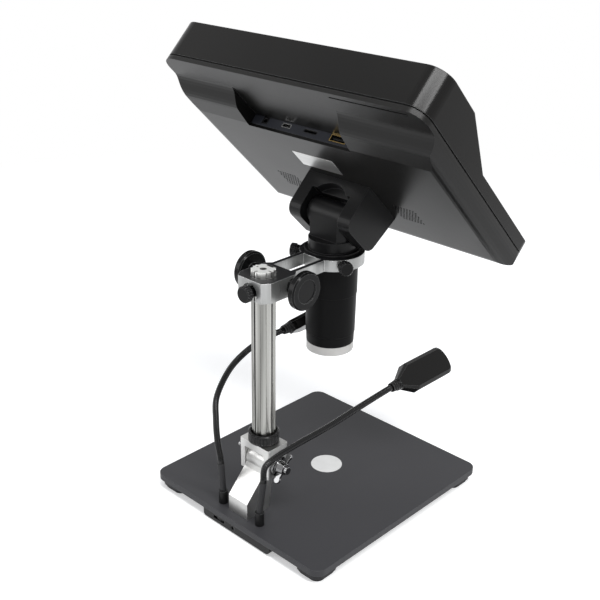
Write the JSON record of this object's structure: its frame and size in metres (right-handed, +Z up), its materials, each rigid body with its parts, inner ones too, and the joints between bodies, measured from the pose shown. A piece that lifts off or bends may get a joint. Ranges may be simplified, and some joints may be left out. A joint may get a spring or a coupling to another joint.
{
  "type": "lcd digital microscope",
  "caption": "Desk microscope with a hooded tilting screen on a camera barrel, a rack-and-pinion focus column, a square stage plate and gooseneck lamps",
  "frame": {"origin": "centre of the white stage window, on the stage's upper face, where the optical axis meets it", "axes": "+Z up along the optical axis and the column, -Y towards the user and the screen side, +Y to the rear where the column stands, +X to the right as the user sees it"},
  "size_m": [0.25, 0.212, 0.3746],
  "materials": {
    "plate_paint": "satin dark charcoal paint",
    "rubber_black": "matte",
    "plastic_black": "fine satin texture",
    "plastic_gloss": "gloss",
    "plastic_white": "matte",
    "diffuser": "translucent frosted",
    "alu_bright": "machined and bead blasted",
    "alu_column": "drawn, satin",
    "steel": "milled",
    "chrome": "bright plated",
    "brass": "machined",
    "knob_black": "black anodised, bevelled rim",
    "arm_cast": "black top face and bright machined sides",
    "strip_slate": "satin slate strip",
    "board": "solder mask",
    "glass": "clear",
    "screen": "dark, switched off",
    "gold": "gold plated",
    "silver": "tin plated"
  },
  "bodies": {
    "base": {"base_plate": "plate_paint", "base_feet": "rubber_black", "control_box": "plastic_black", "power_jack": "plastic_black", "stage_window": "plastic_white", "stage_light_board": "board", "foot_arm": "alu_bright", "foot_screws": "steel", "neck_sockets": "plastic_black", "neck_sleeves": "rubber_black", "flex_neck_left": "rubber_black", "flex_neck_right": "rubber_black", "lamp_left": "plastic_black", "lamp_right": "plastic_black", "lamp_lenses": "diffuser"},
    "dimmer": {"dimmer_wheel": "plastic_black"},
    "stand": {"yoke": "alu_bright", "collar_nut": "knob_black", "column": "alu_column", "column_screw": "steel", "rack": "steel", "pivot_bolt": "chrome"},
    "pivot_nut": {"wing_nut": "chrome"},
    "carriage": {"focus_arm": "arm_cast"},
    "focus": {"focus_shaft": "steel", "focus_pinion": "brass", "focus_knob_left": "knob_black", "focus_knob_right": "knob_black"},
    "lock": {"lock_knob": "knob_black"},
    "screw_left": {"ring_screw_left": "knob_black"},
    "screw_right": {"ring_screw_right": "knob_black"},
    "scope": {"barrel_sleeve": "plastic_black", "barrel_lower": "plastic_black", "light_ring": "diffuser", "light_board": "board", "lens_cell": "plastic_black", "lens_glass": "glass", "sensor_board": "board", "scope_neck": "plastic_black"},
    "monitor": {"tilt_pin": "steel", "bracket": "plastic_black", "back_cover": "plastic_black", "front_frame": "plastic_black", "lcd_panel": "plastic_gloss", "screen_glass": "screen", "main_board": "board", "port_strip": "strip_slate", "port_audio": "plastic_black", "port_usb": "silver", "port_card": "plastic_black", "port_hdmi": "gold", "speakers": "plastic_black"},
    "button_1": {"button_1": "plastic_gloss"},
    "button_2": {"button_2": "plastic_gloss"},
    "button_3": {"button_3": "plastic_gloss"},
    "button_4": {"button_4": "plastic_gloss"},
    "button_5": {"button_5": "plastic_gloss"}
  },
  "joints": [
    {"name": "dimmer_turn", "type": "hinge", "parent": "base", "child": "dimmer", "pos_m": [0.0145, 0.1028, -0.0082], "axis": [0, 0, 1], "range_deg": [-135, 135]},
    {"name": "stand_tilt", "type": "hinge", "parent": "base", "child": "stand", "pos_m": [0, 0.0745, 0.04], "axis": [1, 0, 0], "range_deg": [-15, 20]},
    {"name": "pivot_nut_turn", "type": "hinge", "parent": "stand", "child": "pivot_nut", "pos_m": [-0.02, 0.0745, 0.04], "axis": [-1, 0, 0], "range_deg": [-90, 180]},
    {"name": "focus_slide", "type": "slide", "parent": "stand", "child": "carriage", "axis": [0, 0, 1], "range_m": [-0.045, 0.006]},
    {"name": "focus_turn", "type": "hinge", "parent": "carriage", "child": "focus", "pos_m": [0, 0.0609, 0.1895], "axis": [1, 0, 0], "range_deg": [-87, 646]},
    {"name": "lock_turn", "type": "hinge", "parent": "carriage", "child": "lock", "pos_m": [0, 0.0885, 0.1875], "axis": [0, 1, 0], "range_deg": [-90, 180]},
    {"name": "ring_screw_left_turn", "type": "hinge", "parent": "carriage", "child": "screw_left", "pos_m": [0.02252, 0.01197, 0.1931], "axis": [0.8829, 0.4695, 0], "range_deg": [-180, 180]},
    {"name": "ring_screw_right_turn", "type": "hinge", "parent": "carriage", "child": "screw_right", "pos_m": [-0.02252, 0.01197, 0.1931], "axis": [-0.8829, 0.4695, 0], "range_deg": [-180, 180]},
    {"name": "scope_swivel", "type": "hinge", "parent": "carriage", "child": "scope", "pos_m": [0, 0, 0.193], "axis": [0, 0, 1], "range_deg": [-60, 60]},
    {"name": "monitor_tilt", "type": "hinge", "parent": "scope", "child": "monitor", "pos_m": [0, 0, 0.226], "axis": [1, 0, 0], "range_deg": [-40, 20]},
    {"name": "button_1_press", "type": "slide", "parent": "monitor", "child": "button_1", "axis": [0, 0.7071, -0.7071], "range_m": [0, 0.0006], "stiffness_N_per_m": 500},
    {"name": "button_2_press", "type": "slide", "parent": "monitor", "child": "button_2", "axis": [0, 0.7071, -0.7071], "range_m": [0, 0.0006], "stiffness_N_per_m": 500},
    {"name": "button_3_press", "type": "slide", "parent": "monitor", "child": "button_3", "axis": [0, 0.7071, -0.7071], "range_m": [0, 0.0006], "stiffness_N_per_m": 500},
    {"name": "button_4_press", "type": "slide", "parent": "monitor", "child": "button_4", "axis": [0, 0.7071, -0.7071], "range_m": [0, 0.0006], "stiffness_N_per_m": 500},
    {"name": "button_5_press", "type": "slide", "parent": "monitor", "child": "button_5", "axis": [0, 0.7071, -0.7071], "range_m": [0, 0.0006], "stiffness_N_per_m": 500}
  ],
  "couplings": [
    {"joint": "focus_turn", "follows": "focus_slide", "rad_per_m": -250}
  ]
}
